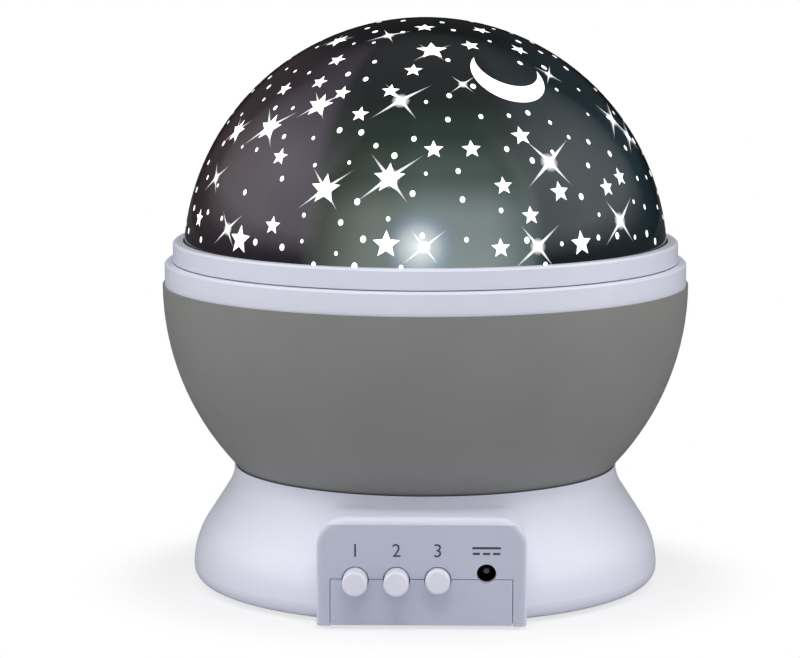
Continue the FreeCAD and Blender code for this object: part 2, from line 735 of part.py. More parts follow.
def drive_gears():
    teeth = int(value("ring_teeth"))
    pinion = int(value("pinion_teeth"))
    thick = value("gear_thick")
    floor = value("ball_floor")
    ring = gear_face(teeth, math.pi / 2, RING_TIP, TOOTH_ROOT).extrude(V(0, 0, thick))
    ring.translate(V(0, 0, floor - thick))
    ring = ring.cut(Part.makeCylinder(value("ring_inner"), floor, V(0, 0, 0)))
    for x, y in GEAR_SCREWS:
        spot = V(value(x), value(y), 0)
        ring = ring.cut(Part.makeCylinder(value("gear_screw_radius"), floor + 1, spot))
        ring = ring.cut(Part.makeCylinder(value("gear_screw_head"), floor - thick / 2, spot))
    shaped("ring_gear", ring)
    wheel = gear_face(pinion, math.pi / pinion - math.pi / 2, PINION_TIP, TOOTH_ROOT).extrude(V(0, 0, thick))
    spot = V(0, value(GEAR_SPACING), 0)
    wheel.translate(spot + V(0, 0, floor - thick - value("run_gap")))
    shaped("drive_pinion", wheel.cut(Part.makeCylinder(value("motor_shaft_radius"), floor * 2, spot)))


# Gear motor hung under the deck, its shaft up through the deck to the pinion
def gear_motor():
    low = "(deck_under - gear_case_height)"
    drum = cylinder("case_drum", "gear_case_radius", low, "gear_case_height", "0", GEAR_SPACING)
    ears = block("case_ears", "-(ear_reach)", "%s - ear_radius" % GEAR_SPACING, "deck_under - ear_thick",
                 "ear_reach * 2", "ear_radius * 2", "ear_thick")
    tips = [cylinder("case_ear_%d" % index, "ear_radius", "deck_under - ear_thick", "ear_thick", x, y)
            for index, (x, y) in enumerate(EAR_PLACES)]
    ways = [cylinder("case_way_%d" % index, "screw_radius", "0", "deck_top", x, y)
            for index, (x, y) in enumerate(EAR_PLACES)]
    bearing = cylinder("case_bearing", "motor_shaft_radius + shaft_gap", low, "deck_top", "0", GEAR_SPACING)
    without("gear_case", joined("case_body", [drum, ears] + tips), ways + [bearing])
    can = cylinder("motor_drum", "motor_radius", "cell_low", "%s - cell_low" % low, "0", GEAR_SPACING)
    end = cylinder("motor_end", "motor_radius / 2", "cell_low - motor_boss", "motor_boss + wall", "0", GEAR_SPACING)
    joined("motor_can", [can, end])
    cylinder("motor_shaft", "motor_shaft_radius", "%s + seat_gap" % low,
             "ball_floor - run_gap - %s - seat_gap" % low, "0", GEAR_SPACING)
    screws("motor_screws", EAR_PLACES, "deck_under - ear_thick - wall / 2", "screw_head", "screw_radius",
           "ear_thick + wall / 2 + deck_top - deck_under")


GEAR_SCREWS = [("gear_screw_circle * cos(%d)" % angle, "gear_screw_circle * sin(%d)" % angle)
               for angle in (30, 150, 270)]


# Fixed spindle that carries the ball and, at its top, the lamp
def spindle():
    body = new_body("spindle")
    flange = "(deck_under - wall * 0.6)"
    low = "(bush_top + run_gap)"
    neck = "spindle_radius - clip_depth"
    turned(body, "tube", [
        ("spindle_bore", flange),
        ("spindle_flange", flange),
        ("spindle_flange", "deck_under"),
        ("spindle_radius", "deck_under"),
        ("spindle_radius", low),
        (neck, low),
        (neck, "%s + clip_thick" % low),
        ("spindle_radius", "%s + clip_thick" % low),
        ("spindle_radius", "spindle_top"),
        ("spindle_bore", "spindle_top"),
    ])
    disc = cylinder("clip_disc", "clip_radius", low, "clip_thick")
    hole = cylinder("clip_hole", neck, low, "clip_thick")
    mouth = block("clip_mouth", "-(clip_radius) / 3", "0", low, "clip_radius * 2 / 3", "clip_radius * 2", "clip_thick")
    without("spindle_clip", disc, [hole, mouth])
    ring = cylinder("washer_disc", "hub_radius", "hub_top", "washer_thick")
    without("thrust_washer", ring, [cylinder("washer_hole", "spindle_radius + shaft_gap", "hub_top", "washer_thick")])


def lamp():
    body = new_body("lamp_head")
    turned(body, "cup", [
        ("spindle_radius", "spindle_top - wall * 2"),
        ("spindle_radius + wall", "spindle_top - wall * 2"),
        ("head_radius", "spindle_top + wall"),
        ("head_radius", "head_top"),
        ("head_radius - wall / 2", "head_top"),
        ("head_radius - wall / 2", "head_top - board_thick"),
        ("spindle_bore", "head_top - board_thick"),
        ("spindle_bore", "spindle_top"),
        ("spindle_radius", "spindle_top"),
    ])
    cylinder("led_board", "head_radius - wall / 2", "head_top - board_thick", "board_thick")
    round_led("star_led", [("0", "0")], "led_radius", "led_height")
    spots = [("small_led_circle * cos(%d)" % angle, "small_led_circle * sin(%d)" % angle)
             for angle in (0, 90, 180, 270)]
    round_led("colour_leds", spots, "small_led_radius", "led_height * 0.7")


def round_led(label, places, radius, tall):
    """Round lamps with a domed end and a collar at the foot."""
    lamps = []
    for index, (x, y) in enumerate(places):
        stem = cylinder("%s_stem_%d" % (label, index), radius, "head_top", "%s - %s" % (tall, radius), x, y)
        collar = cylinder("%s_collar_%d" % (label, index), "%s * 1.15" % radius, "head_top", "wall / 3", x, y)
        cap = doc.addObject("Part::Sphere", "%s_cap_%d" % (label, index))
        cap.Angle1 = 0
        bind(cap, Radius=radius, Placement__Base__x=x, Placement__Base__y=y,
             Placement__Base__z="head_top + %s - %s" % (tall, radius))
        lamps.append(joined("%s_%d" % (label, index), [stem, collar, cap]))
    return grouped(label, lamps)


# Ball: the grey bowl, its turning bush and the white deck and ring that close it
def bowl():
    body = new_body("bowl")
    inner = "(ball_radius - wall)"
    floor = "ball_centre - ball_floor"
    ledge = "(%s - ledge_width)" % inner
    turned(body, "bowl_wall", [
        ("bush_radius", "ball_floor"),
        ("sqrt(ball_radius * ball_radius - (%s) * (%s))" % (floor, floor), "ball_floor",
         "0", "ball_centre", "left"),
        ("ball_radius", "ball_centre"),
        (inner, "ball_centre", "0", "ball_centre", "right"),
        ("sqrt(%s * %s - (ball_centre - ledge_height) * (ball_centre - ledge_height))" % (inner, inner),
         "ledge_height"),
        (ledge, "ledge_height"),
        ("sqrt(%s * %s - (ball_centre - ledge_height + ledge_width) * (ball_centre - ledge_height + ledge_width))"
         % (inner, inner), "ledge_height - ledge_width", "0", "ball_centre", "right"),
        ("sqrt(%s * %s - (%s - wall) * (%s - wall))" % (inner, inner, floor, floor), "ball_floor + wall"),
        ("bush_radius + wall * 1.5", "ball_floor + wall"),
        ("bush_radius + wall * 1.5", "bush_top"),
        ("bush_radius", "bush_top"),
    ])
    padded(body, "gear_bosses", lambda sketch: circles(sketch, GEAR_SCREWS, "boss_radius"), "ball_floor",
           "boss_height")
    pocketed(body, "gear_boss_holes", lambda sketch: circles(sketch, GEAR_SCREWS, "gear_screw_radius"),
             "ball_floor - wall", "boss_height + wall / 2")
    bush = new_body("ball_bush")
    turned(bush, "bush_sleeve", [
        ("spindle_radius + shaft_gap", "hub_top + washer_thick + seat_gap"),
        ("bush_flange", "hub_top + washer_thick + seat_gap"),
        ("bush_flange", "ball_floor"),
        ("bush_radius", "ball_floor"),
        ("bush_radius", "bush_top"),
        ("spindle_radius + shaft_gap", "bush_top"),
    ])
    screws("gear_screws", GEAR_SCREWS, "ball_floor - gear_thick", "gear_screw_head", "gear_screw_radius",
           "gear_thick + boss_height - wall", "gear_thick / 2")


def inner_deck():
    body = new_body("inner_deck")
    outer = "(ball_radius - wall - seat_gap * 8)"
    turned(body, "deck_plate", [
        ("head_radius + run_gap * 2", "ledge_height"),
        (outer, "ledge_height"),
        (outer, "ledge_height + inner_deck_thick"),
        ("head_radius + run_gap * 2 + wall", "ledge_height + inner_deck_thick"),
        ("head_radius + run_gap * 2 + wall", "ledge_height + inner_deck_thick * 2"),
        ("head_radius + run_gap * 2", "ledge_height + inner_deck_thick * 2"),
    ])


def bezel_ring():
    body = new_body("bezel_ring")
    spigot = "(ball_radius - wall - run_gap)"
    wall_in = "(bezel_radius - wall)"
    turned(body, "bezel_wall", [
        ("%s - wall" % spigot, "ledge_height + inner_deck_thick + seat_gap"),
        (spigot, "ledge_height + inner_deck_thick + seat_gap"),
        (spigot, "ball_centre"),
        ("bezel_radius", "ball_centre"),
        ("bezel_radius", "bezel_top - edge_cut"),
        ("bezel_radius - edge_cut", "bezel_top"),
        (wall_in, "bezel_top"),
        (wall_in, "skirt_bottom - seat_gap"),
        ("%s - wall" % spigot, "skirt_bottom - seat_gap"),
    ])
    ledge_low = "(skirt_bottom + lug_thick + seat_gap)"
    padded(body, "bayonet_ledge",
           lambda sketch: sector(sketch, "skirt_radius + lug_gap", "bezel_radius - wall / 2", "ledge_angle"),
           ledge_low, "lug_thick")
    pattern_round(body, "bayonet_ledges", body.Tip)


def sector(sketch, inside, outside, angle):
    """A piece of a ring, evenly to both sides of the front."""
    reach = "(%s) / 2" % angle
    outline(sketch, [
        ("(%s) * sin(%s)" % (inside, reach), "-(%s) * cos(%s)" % (inside, reach), "0", "0", "right"),
        ("-(%s) * sin(%s)" % (inside, reach), "-(%s) * cos(%s)" % (inside, reach)),
        ("-(%s) * sin(%s)" % (outside, reach), "-(%s) * cos(%s)" % (outside, reach), "0", "0", "left"),
        ("(%s) * sin(%s)" % (outside, reach), "-(%s) * cos(%s)" % (outside, reach)),
    ])


def pattern_round(body, name, feature):
    pattern = body.newObject("PartDesign::PolarPattern", name)
    pattern.Originals = [feature]
    pattern.Axis = (origin_axis(body, "Z_Axis"), [""])
    pattern.Angle = 360
    bind(pattern, Occurrences="lug_count")
    body.Tip = pattern
    return pattern


def origin_axis(body, role):
    return [item for item in body.Origin.OriginFeatures if item.Role == role][0]


# Dome cover: the upper ring with its bayonet lugs, and the dome with its star windows
def dome_collar():
    body = new_body("dome_collar")
    low = "(bezel_top + collar_gap)"
    seat_in = "(dome_radius - dome_wall - seat_gap * 2)"
    rise = "(dome_radius + seat_gap)"
    turned(body, "collar_wall", [
        ("skirt_radius - skirt_wall", "skirt_bottom"),
        ("skirt_radius", "skirt_bottom"),
        ("skirt_radius", low),
        ("collar_radius", low),
        ("collar_radius", "collar_top - edge_cut"),
        ("collar_radius - edge_cut", "collar_top"),
        (rise, "collar_top"),
        (rise, "dome_seat"),
        (seat_in, "dome_seat"),
        (seat_in, "dome_seat - wall"),
        ("skirt_radius - skirt_wall", "dome_seat - wall * 2"),
    ])
    padded(body, "bayonet_lug",
           lambda sketch: sector(sketch, "skirt_radius - skirt_wall / 2", "skirt_radius + lug_reach", "lug_angle"),
           "skirt_bottom", "lug_thick")
    pattern_round(body, "bayonet_lugs", body.Tip)


# Star windows as (degrees round from the front, degrees up, share of the star size)
STARS = [
    (4, 63, 1.6), (-4, 55, 0.96), (-19, 41, 0.93), (3, 32, 1), (-8, 25, 1.6), (-24, 22, 1.6),
    (-34, 43, 1.5), (-28, 47, 0.93), (-40, 50, 0.93), (-41, 58, 1), (-55, 47, 0.96), (-49, 36, 1.6),
    (-40, 29, 0.96), (-65, 34, 1.4), (-11, 48, 0.93), (0, 76, 1.1), (-60, 66, 1.3), (26, 65, 1),
    (54, 62, 1), (51, 73, 1), (28, 35, 1.1), (13, 32, 1), (20, 23, 0.96), (35, 21, 1.1),
    (58, 23, 1), (51, 21, 1), (-47, 9, 1.5), (-37, 13, 0.96), (-8, 10, 1.4), (-68, 12, 1),
    (26, 16, 0.96), (18, 9, 1), (39, 9, 1.3),
]
MOON = (34, 53)
STAR_POINTS = 5
STAR_WAIST = 0.45
# The bite that makes the crescent, as shares of the moon's size
MOON_BITE = 0.86
MOON_BITE_ACROSS = 0.16
MOON_BITE_UP = 0.40
SIDES = (0, 180)


def window_frame(around, upward):
    """Turns a shape drawn flat about the upright axis so that it faces out through the dome."""
    tilt = FreeCAD.Rotation(V(1, 0, 0), 90 - upward)
    return FreeCAD.Rotation(V(0, 0, 1), around).multiply(tilt)


def star_outline(size):
    corners = []
    for corner in range(2 * STAR_POINTS):
        angle = math.pi * corner / STAR_POINTS - math.pi / 2
        reach = size if corner % 2 == 0 else size * STAR_WAIST
        corners.append(V(reach * math.cos(angle), -reach * math.sin(angle), 0))
    return Part.Face(Part.makePolygon(corners + corners[:1]))


def moon_outline(size):
    full = Part.Face(Part.Wire(Part.makeCircle(size)))
    offset = V(size * MOON_BITE_ACROSS, size * MOON_BITE_UP, 0)
    bite = Part.Face(Part.Wire(Part.makeCircle(size * MOON_BITE, offset)))
    return full.cut(bite).Faces[0]


def window_bars():
    """A bar through the dome wall for each window."""
    outer = value("dome_radius")
    near = outer - 3 * value("dome_wall")
    middle = V(0, 0, value("dome_centre"))
    scale = value("star_size")
    bars = []
    for side in SIDES:
        for around, upward, size in STARS:
            if upward > 70 and side:
                continue
            bars.append((star_outline(size * scale), around + side, upward))
        bars.append((moon_outline(value("moon_size")), MOON[0] + side, MOON[1]))
    shapes = []
    for face, around, upward in bars:
        bar = face.extrude(V(0, 0, outer))
        bar.translate(V(0, 0, near))
        bar.Placement = FreeCAD.Placement(middle, window_frame(around, upward)).multiply(bar.Placement)
        shapes.append(bar)
    return shapes


def star_dome():
    middle = V(0, 0, value("dome_centre"))
    outer = value("dome_radius")
    seat = value("dome_seat")
    shell = Part.makeSphere(outer, middle).cut(Part.makeSphere(outer - value("dome_wall"), middle))
    span = outer * 4
    shell = shell.cut(Part.makeBox(span, span, seat, V(-span / 2, -span / 2, 0)))
    bars = window_bars()
    shaped("star_dome", shell.cut(bars))
    shaped("star_panes", Part.makeCompound([shell.common(bar) for bar in bars]))


NODES = [
    "base_shell", "bottom_plate", "rubber_feet", "base_screws", "battery_door", "door_screw",
    "battery_cells", "battery_contacts", "control_board", "push_switches", "control_chip",
    "dc_jack", "dc_jack_pin", "gear_case", "motor_can", "motor_screws", "motor_shaft", "drive_pinion",
    "spindle", "spindle_clip", "thrust_washer", "lamp_head", "led_board", "star_led", "colour_leds",
    "bowl", "ball_bush", "ring_gear", "gear_screws", "inner_deck", "bezel_ring",
    "dome_collar", "star_dome", "star_panes", "button_1", "button_2", "button_3",
    "plunger_1", "plunger_2", "plunger_3",
]

base_shell()
bottom_plate()
rubber_feet()
screws("base_screws", POSTS, "plate_bottom", "screw_head", "screw_radius", "screw_length")
battery_door()
battery_cells()
battery_contacts()
control_board()
push_switches()
control_chip()
for number in range(3):
    push_button(number)
dc_jack()
drive_gears()
gear_motor()
spindle()
lamp()
bowl()
inner_deck()
bezel_ring()
dome_collar()
star_dome()
doc.recompute()

for item in doc.Objects:
    if "Invalid" in item.State or "Error" in item.State:
        raise RuntimeError("%s did not build: %s" % (item.Name, item.State))

finished = {}
for node in NODES:
    shape = doc.getObjectsByLabel(node)[0].Shape
    if shape.isNull() or not shape.isValid() or not shape.Solids:
        raise RuntimeError("%s has no valid solid" % node)
    finished[node] = shape

os.makedirs("parts", exist_ok=True)
for node, shape in finished.items():
    shape.exportStep("parts/%s.step" % node)
    print("%-18s %2d solids %9.1f mm3" % (node, len(shape.Solids), shape.Volume))
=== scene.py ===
import json
import math
import random

import bmesh
import bpy
from mathutils import Matrix, Vector


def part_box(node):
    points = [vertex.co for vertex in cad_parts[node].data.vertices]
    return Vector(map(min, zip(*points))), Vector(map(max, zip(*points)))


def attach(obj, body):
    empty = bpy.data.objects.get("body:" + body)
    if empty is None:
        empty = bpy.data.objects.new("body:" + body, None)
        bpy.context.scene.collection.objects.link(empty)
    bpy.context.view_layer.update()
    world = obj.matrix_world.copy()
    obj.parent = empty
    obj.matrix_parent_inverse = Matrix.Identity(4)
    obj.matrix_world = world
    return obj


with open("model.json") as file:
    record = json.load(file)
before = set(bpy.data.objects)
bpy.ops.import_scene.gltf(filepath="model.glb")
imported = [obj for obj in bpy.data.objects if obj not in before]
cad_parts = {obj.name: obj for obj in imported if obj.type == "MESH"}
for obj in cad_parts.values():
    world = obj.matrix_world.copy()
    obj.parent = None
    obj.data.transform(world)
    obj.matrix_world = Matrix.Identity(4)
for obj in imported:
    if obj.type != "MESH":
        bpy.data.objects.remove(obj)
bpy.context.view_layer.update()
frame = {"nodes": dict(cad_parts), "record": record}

NODES = frame["nodes"]
MM = 0.001

# The camera, as found from the ellipses of the rings in the photograph
PHOTO_WIDTH = 800
FOCAL_PIXELS = 3375.0
SENSOR_MM = 36.0
CAMERA_DISTANCE = 0.800
CAMERA_HEIGHT = 0.1733
CAMERA_SIDE = math.radians(0.84)
CAMERA_YAW = math.radians(1.273)
CAMERA_PITCH = math.radians(8.02)
CLIP_START = 0.01

# Places that the looks are worked out from, read off the frame
DOME_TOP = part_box("star_dome")[1].z
DOME_RADIUS = 57.6 * MM
DOME_CENTRE = Vector((0.0, 0.0, DOME_TOP - DOME_RADIUS))
PANEL_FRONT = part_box("base_shell")[0].y
PANEL_EDGE = 1.0 * MM
PANEL_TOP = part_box("bowl")[0].z


def srgb(red, green, blue):
    """A colour written in 0 to 255 as the eye sees it, as the linear colour the shader takes."""
    linear = []
    for part in (red, green, blue):
        part = part / 255.0
        linear.append(part / 12.92 if part <= 0.04045 else ((part + 0.055) / 1.055) ** 2.4)
    return (linear[0], linear[1], linear[2], 1.0)


def scaled(colour, share):
    """A colour made darker or lighter, up to full white."""
    return tuple(min(1.0, part * share) for part in colour[:3]) + (1.0,)


def grey(level):
    return (level, level, level, 1.0)


# Node trees

class Tree:
    """A node tree, with short calls to add and join nodes."""

    def __init__(self, tree):
        self.tree = tree

    def add(self, kind, **inputs):
        node = self.tree.nodes.new(kind)
        for name, amount in inputs.items():
            node.inputs[name.replace("_", " ")].default_value = amount
        return node

    def join(self, start, finish):
        self.tree.links.new(start, finish)

    def feed(self, socket, source):
        """Join another node's output to a socket, or set the socket to a plain value."""
        if isinstance(source, bpy.types.NodeSocket):
            self.join(source, socket)
        else:
            socket.default_value = source

    def math(self, operation, *terms):
        node = self.tree.nodes.new("ShaderNodeMath")
        node.operation = operation
        for socket, term in zip(node.inputs, terms):
            self.feed(socket, term)
        return node.outputs[0]

    def ramp(self, fac, stops, smooth="LINEAR"):
        node = self.tree.nodes.new("ShaderNodeValToRGB")
        node.color_ramp.interpolation = smooth
        while len(node.color_ramp.elements) < len(stops):
            node.color_ramp.elements.new(0.5)
        for element, (spot, colour) in zip(node.color_ramp.elements, stops):
            element.position = spot
            element.color = colour
        self.join(fac, node.inputs["Fac"])
        return node.outputs["Color"]

    def mix(self, share, first, second, blend="MIX"):
        node = self.tree.nodes.new("ShaderNodeMixRGB")
        node.blend_type = blend
        for socket, source in zip(node.inputs, (share, first, second)):
            self.feed(socket, source)
        return node.outputs[0]

    def mix_shader(self, share, first, second):
        node = self.tree.nodes.new("ShaderNodeMixShader")
        for socket, source in zip(node.inputs, (share, first, second)):
            self.join(source, socket)
        return node.outputs[0]

    def emission(self, colour):
        return self.add("ShaderNodeEmission", Color=colour).outputs[0]

    def parts(self, source):
        """The three parts of a vector."""
        split = self.tree.nodes.new("ShaderNodeSeparateXYZ")
        self.join(source, split.inputs[0])
        return split.outputs

    def light_path(self, question):
        return self.tree.nodes.new("ShaderNodeLightPath").outputs[question]


class Look(Tree):
    """A material with its shader, its object coordinates, noise and bump."""

    def __init__(self, name):
        self.material = bpy.data.materials.new(name)
        self.material.use_nodes = True
        super().__init__(self.material.node_tree)
        self.shader = self.tree.nodes["Principled BSDF"]
        self.place = self.tree.nodes.new("ShaderNodeTexCoord").outputs["Object"]

    def set(self, **inputs):
        """Give the shader's sockets plain values or other nodes' outputs."""
        for name, source in inputs.items():
            self.feed(self.shader.inputs[name.replace("_", " ")], source)

    def noise(self, scale, detail=4.0, roughness=0.5):
        node = self.add("ShaderNodeTexNoise", Scale=scale, Detail=detail, Roughness=roughness)
        self.join(self.place, node.inputs["Vector"])
        return node.outputs["Fac"]

    def bump(self, height, strength, distance, below=None):
        node = self.add("ShaderNodeBump", Strength=strength, Distance=distance)
        self.join(height, node.inputs["Height"])
        if below is not None:
            self.join(below, node.inputs["Normal"])
        return node.outputs["Normal"]


# Materials

# Moulded plastic: its drift of colour, its drift of gloss, its flow marks and its fine grain
DRIFT_SCALE = 55.0
GLOSS_SCALE = 240.0
GLOSSIER = 0.04
DULLER = 0.05
FLOW_SCALE = 38.0
FLOW_SHARE = 0.6
FLOW_DEPTH = 0.0004
GRAIN_SCALE = 3600.0
GRAIN_DEPTH = 0.00006
COAT_ROUGHNESS = 0.08
# Bare metal: its stains and its scratches
STAIN_SCALE = 300.0
STAIN_SHADE = 0.8
SCRATCH_SCALE = 2500.0
SCRATCH_STRENGTH = 0.1
SCRATCH_DEPTH = 0.00005


def plastic_look(name, colour, roughness, spread=0.03, bump=0.08, coat=0.0, specular=0.5):
    """Moulded plastic: a faint drift of colour, a fine moulded grain and slight flow marks."""
    look = Look(name)
    drift = [(0.3, scaled(colour, 1.0 - spread)), (0.7, scaled(colour, 1.0 + spread))]
    gloss = look.add("ShaderNodeMapRange", To_Min=roughness - GLOSSIER, To_Max=roughness + DULLER)
    look.join(look.noise(GLOSS_SCALE), gloss.inputs["Value"])
    flow = look.bump(look.noise(FLOW_SCALE, 2.0), bump * FLOW_SHARE, FLOW_DEPTH)
    look.set(Base_Color=look.ramp(look.noise(DRIFT_SCALE, 5.0), drift), Roughness=gloss.outputs["Result"],
             Normal=look.bump(look.noise(GRAIN_SCALE, 3.0), bump, GRAIN_DEPTH, flow),
             Coat_Weight=coat, Coat_Roughness=COAT_ROUGHNESS, Specular_IOR_Level=specular)
    return look


def plastic(*shape, **options):
    return plastic_look(*shape, **options).material


WHITE = srgb(222, 224, 238)
# Painted shade, multiplied into the white on the control panel's flat face
PANEL_PAINTED_SHADE = (0.70, 0.72, 0.76, 1.0)


def panel_shell():
    """The white shell's plastic, with painted shade that makes the flat face of the control panel a little
    greyer.
    """
    look = plastic_look("white_shell", WHITE, 0.34, 0.015, bump=0.05, coat=0.15)
    across, depth, height = look.parts(look.place)
    face = look.add("ShaderNodeMapRange", From_Min=PANEL_FRONT + PANEL_EDGE,
                    From_Max=PANEL_FRONT + PANEL_EDGE * 0.3)
    look.join(depth, face.inputs["Value"])
    painted_shade_on_panel = look.math("MULTIPLY", face.outputs["Result"], look.math("LESS_THAN", height, PANEL_TOP))
    shell = look.shader.inputs["Base Color"].links[0].from_socket
    # The panel's face takes the painted shade
    look.set(Base_Color=look.mix(painted_shade_on_panel, shell, PANEL_PAINTED_SHADE, "MULTIPLY"))
    return look.material


def metal(name, colour, roughness):
    """Bare metal with faint stains and fine scratches."""
    look = Look(name)
    stains = look.ramp(look.noise(STAIN_SCALE, 6.0), [(0.35, scaled(colour, STAIN_SHADE)), (0.65, colour)])
    scratches = look.bump(look.noise(SCRATCH_SCALE, 2.0), SCRATCH_STRENGTH, SCRATCH_DEPTH)
    look.set(Base_Color=stains, Metallic=1.0, Roughness=roughness, Normal=scratches)
    return look.material


CLEAR_PLASTIC = (0.8, 0.8, 0.8, 1.0)
SHINE_SCALE = 160.0


def star_light(name, colour, strength):
    """Clear plastic that the lamp shines out through."""
    look = Look(name)
    shine = look.ramp(look.noise(SHINE_SCALE, 2.0), [(0.2, scaled(colour, 0.96)), (0.6, colour)])
    look.set(Base_Color=CLEAR_PLASTIC, Roughness=0.15, Emission_Color=shine, Emission_Strength=strength)
    return look.material


# How fast a glint's light falls off from its middle
GLINT_FADE = 1.15


def glint_light():
    """Light that is white in the middle of a glint and fades out along its rays."""
    look = Look("glint")
    shine = look.ramp(look.noise(SHINE_SCALE, 2.0), [(0.2, (0.93, 0.95, 0.96, 1.0)), (0.6, grey(1.0))])
    fade = look.tree.nodes.new("ShaderNodeAttribute")
    fade.attribute_name = "fade"
    look.set(Base_Color=CLEAR_PLASTIC, Roughness=0.2, Emission_Color=shine, Emission_Strength=1.1,
             Alpha=look.math("POWER", fade.outputs["Fac"], GLINT_FADE))
    return look.material


# The dome's painted light: a wide gore front and back with painted glow of the lamp inside, and darker gores
# beside it with painted tinted reflections.
# Places across run from 0 at the left side to 1 at the right, and upward from 0 at the foot to 1 at the top.
GORE_EDGE = 27.0 / 180.0
GORE_BLUR = 0.012
PAINTED_LIGHT_FOOT = 80.0 * MM
# Painted glow of the lamp inside, fading upward and towards the gore's edges
GLOW_COLOUR = srgb(134, 147, 146)
GLOW_UPWARD = [(0.0, GLOW_COLOUR), (0.22, scaled(GLOW_COLOUR, 0.82)), (0.42, srgb(66, 80, 74)),
               (0.58, srgb(26, 46, 38)), (0.72, srgb(3, 14, 11)), (0.80, grey(0.0))]
GLOW_ACROSS = [(0.5 - GORE_EDGE, (0.22, 0.20, 0.17, 1)), (0.45, (0.72, 0.70, 0.64, 1)), (0.51, grey(1.0)),
               (0.58, grey(0.94)), (0.5 + GORE_EDGE, (0.42, 0.50, 0.49, 1))]
GORE_PLACE = [(0.0, grey(0.0)), (0.5 - GORE_EDGE - GORE_BLUR, grey(0.0)),
              (0.5 - GORE_EDGE + GORE_BLUR, grey(1.0)), (0.5 + GORE_EDGE - GORE_BLUR, grey(1.0)),
              (0.5 + GORE_EDGE + GORE_BLUR, grey(0.0))]
# Painted tinted reflections in the gores beside: purplish on the left, slate on the right
SIDE_REFLECTION_ACROSS = [(0.0, grey(0.0)), (0.11, srgb(58, 46, 48)), (0.34, srgb(62, 50, 66)), (0.5, grey(0.0)),
                (0.66, srgb(24, 42, 46)), (0.87, srgb(24, 42, 48)), (1.0, grey(0.0))]
SIDE_REFLECTION_UPWARD = [(0.0, grey(0.12)), (0.2, grey(0.7)), (0.45, grey(1.0)), (0.8, grey(0.55)), (0.96, grey(0.02))]

# The lamp's glare on the dome: its middle, how far it spreads, its fall-off and its colours
GLARE_SPOT = (-0.6 * MM, -56.6 * MM, 86.9 * MM)
GLARE_SPREAD = 9.2 * MM
GLARE_FALL = 1.6
GLARE_COLOURS = [(0.0, srgb(90, 150, 235)), (0.35, srgb(240, 248, 255))]

# The moulding's slight unevenness under the print
RIPPLE_SCALE = 26.0
RIPPLE_STRENGTH = 0.02
RIPPLE_DEPTH = 0.0004


def glare(look, across, depth, height):
    """How strongly the lamp glares at a place, front and back alike."""
    folded = look.tree.nodes.new("ShaderNodeCombineXYZ")
    look.join(across, folded.inputs[0])
    look.join(look.math("MULTIPLY", look.math("ABSOLUTE", depth), -1.0), folded.inputs[1])
    look.join(height, folded.inputs[2])
    gap = look.tree.nodes.new("ShaderNodeVectorMath")
    gap.operation = "DISTANCE"
    look.join(folded.outputs[0], gap.inputs[0])
    gap.inputs[1].default_value = GLARE_SPOT
    near = look.math("SUBTRACT", 1.0, look.math("DIVIDE", gap.outputs["Value"], GLARE_SPREAD))
    return look.math("POWER", look.math("MAXIMUM", near, 0.0), GLARE_FALL)


def dome_print():
    """Gloss black print with painted light on it: painted glow of the lamp inside, strongest towards the
    lamp, painted tinted reflections in the side gores and a painted glare.
    """
    look = Look("dome_print")
    across, depth, height = look.parts(look.place)
    around = look.math("ARCTAN2", across, look.math("MULTIPLY", depth, -1.0))
    # Folded so that the back has the same painted glow and painted reflections as the front
    folded = look.math("WRAP", look.math("DIVIDE", around, math.pi), 0.5, -0.5)
    side = look.math("ADD", folded, 0.5)
    rise = look.math("DIVIDE", look.math("SUBTRACT", height, PAINTED_LIGHT_FOOT), DOME_TOP - PAINTED_LIGHT_FOOT)
    middle = look.mix(1.0, look.ramp(rise, GLOW_UPWARD, "EASE"), look.ramp(side, GLOW_ACROSS, "EASE"),
                      "MULTIPLY")
    beside = look.mix(1.0, look.ramp(side, SIDE_REFLECTION_ACROSS, "EASE"), look.ramp(rise, SIDE_REFLECTION_UPWARD, "EASE"),
                      "MULTIPLY")
    glow = look.mix(look.ramp(side, GORE_PLACE), beside, middle)
    flare = glare(look, across, depth, height)
    ripple = look.bump(look.noise(RIPPLE_SCALE, 2.0), RIPPLE_STRENGTH, RIPPLE_DEPTH)
    # The emission is painted light: the lamp's glow, the side reflections and the glare, fixed on the dome
    look.set(Base_Color=(0.006, 0.007, 0.008, 1.0), Roughness=0.07, Coat_Weight=0.05, Coat_Roughness=0.03,
             Specular_IOR_Level=0.28, Emission_Color=look.mix(flare, glow, look.ramp(flare, GLARE_COLOURS)),
             Emission_Strength=1.0, Normal=ripple)
    return look.material


MATERIALS = {
    "white_shell": panel_shell(),
    "button_white": plastic("button_white", srgb(224, 224, 236), 0.30, 0.02, bump=0.05, coat=0.2),
    "grey_bowl": plastic("grey_bowl", srgb(132, 132, 130), 0.52, 0.03, bump=0.10, specular=0.4),
    "dome_black": dome_print(),
    "star_clear": star_light("star_clear", grey(1.0), 1.15),
    "led_clear": star_light("led_clear", (0.85, 0.93, 1.0, 1.0), 2.0),
    "rubber": plastic("rubber", srgb(40, 40, 42), 0.75, 0.15, bump=0.3),
    "steel": metal("steel", (0.62, 0.62, 0.63, 1.0), 0.28),
    "cell": metal("cell", (0.10, 0.13, 0.20, 1.0), 0.35),
    "board": plastic("board", (0.02, 0.12, 0.05, 1.0), 0.45, 0.2, bump=0.1),
    "black_plastic": plastic("black_plastic", (0.010, 0.010, 0.011, 1.0), 0.35, 0.2, bump=0.1),
    "white_acetal": plastic("white_acetal", srgb(226, 226, 222), 0.42, 0.02, bump=0.08),
    "glint": glint_light(),
    "ink": plastic("ink", srgb(66, 70, 92), 0.5, 0.05, bump=0.02),
}

SMOOTH_ANGLE = math.radians(28)


